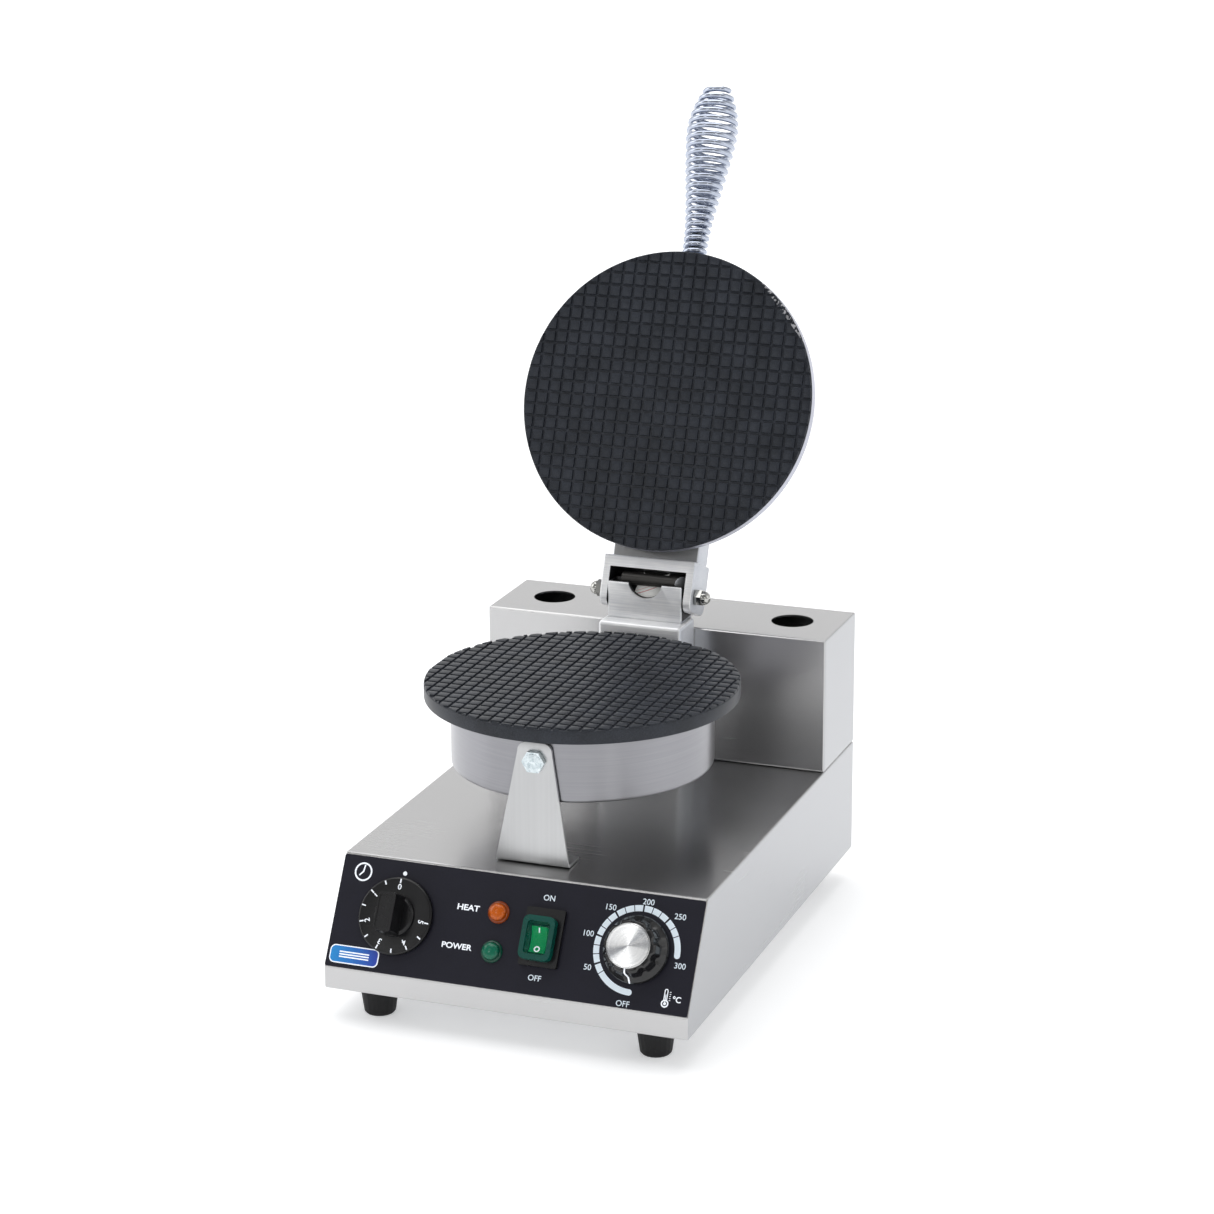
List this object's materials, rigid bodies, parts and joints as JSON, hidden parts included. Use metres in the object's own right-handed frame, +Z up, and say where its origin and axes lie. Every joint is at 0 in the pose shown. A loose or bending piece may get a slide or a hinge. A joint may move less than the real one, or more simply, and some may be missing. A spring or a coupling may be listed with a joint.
{
  "type": "waffle cone maker",
  "caption": "Electric waffle cone baker with a hinged round upper plate, spring handle, sloping panel with timer, thermostat, lamps and rocker, and tool holes behind.",
  "frame": {"origin": "centre of the object's box on the floor, under the feet, with the lid open", "axes": "+Z up; +X to the machine's right seen from the front; the control panel faces -Y and the hinge is towards +Y"},
  "size_m": [0.24, 0.4204, 0.5329],
  "materials": {
    "stainless": "brushed satin sheet",
    "bracket_steel": "satin sheet, slightly warm",
    "cast_aluminium": "cast, linished faces",
    "zinc_steel": "bright zinc",
    "chrome": "bright plated",
    "non_stick_plate": "black non-stick coating",
    "dark_steel": "dull dark steel",
    "glass_fibre_sleeve": "white woven glass-fibre sleeve",
    "label": "matt printed overlay",
    "black_plastic": "glossy black",
    "ceramic": "unglazed",
    "amber_lens": "clear amber",
    "green_lens": "clear green",
    "green_rocker": "translucent green",
    "clear_boot": "soft clear boot, tinted",
    "rubber": "matt black"
  },
  "bodies": {
    "machine": {"base_housing": "stainless", "bottom_tray": "stainless", "rear_box": "stainless", "hinge_pedestal": "cast_aluminium", "lead_guard_bar": "dark_steel", "pedestal_bolt_left": "zinc_steel", "pedestal_bolt_right": "zinc_steel", "hinge_pin_left": "zinc_steel", "hinge_pin_right": "zinc_steel", "acorn_nut_left": "chrome", "acorn_nut_right": "chrome", "lower_plate": "non_stick_plate", "lower_drum": "stainless", "lower_heating_element": "dark_steel", "lower_heater_lead": "glass_fibre_sleeve", "lid_heater_lead": "glass_fibre_sleeve", "front_bracket": "bracket_steel", "bracket_bolt": "zinc_steel", "bracket_foot_screw_left": "zinc_steel", "bracket_foot_screw_right": "zinc_steel", "control_label": "label", "timer_body": "black_plastic", "thermostat_body": "ceramic", "heat_lamp": "amber_lens", "power_lamp": "green_lens", "switch_body": "black_plastic", "switch_boot": "clear_boot", "terminal_block": "ceramic", "cable_gland": "black_plastic", "foot_front_left": "rubber", "foot_screw_front_left": "zinc_steel", "foot_front_right": "rubber", "foot_screw_front_right": "zinc_steel", "foot_rear_left": "rubber", "foot_screw_rear_left": "zinc_steel", "foot_rear_right": "rubber", "foot_screw_rear_right": "zinc_steel"},
    "lid": {"hinge_yoke": "cast_aluminium", "upper_plate": "non_stick_plate", "upper_drum": "stainless", "upper_heating_element": "dark_steel", "handle_stud": "zinc_steel", "handle_nut": "zinc_steel", "spring_handle": "chrome"},
    "timer": {"timer_knob": "black_plastic", "timer_shaft": "zinc_steel"},
    "thermostat": {"thermostat_knob": "black_plastic", "thermostat_cap": "chrome", "thermostat_shaft": "zinc_steel"},
    "rocker": {"rocker": "green_rocker"}
  },
  "joints": [
    {"name": "lid_hinge", "type": "hinge", "parent": "machine", "child": "lid", "pos_m": [0, 0.0633, 0.2134], "axis": [1, 0, 0], "range_deg": [0, 112.4], "deforming": ["lid_heater_lead"]},
    {"name": "timer_turn", "type": "hinge", "parent": "machine", "child": "timer", "pos_m": [-0.0775, -0.19422, 0.07121], "axis": [0, 0.8624, -0.5062], "range_deg": [0, 264.5]},
    {"name": "thermostat_turn", "type": "hinge", "parent": "machine", "child": "thermostat", "pos_m": [0.0809, -0.19422, 0.07121], "axis": [0, 0.8624, -0.5062], "range_deg": [0, 270]},
    {"name": "rocker_tilt", "type": "hinge", "parent": "machine", "child": "rocker", "pos_m": [0.0202, -0.18461, 0.06487], "axis": [-1, 0, 0], "range_deg": [0, 12]}
  ]
}
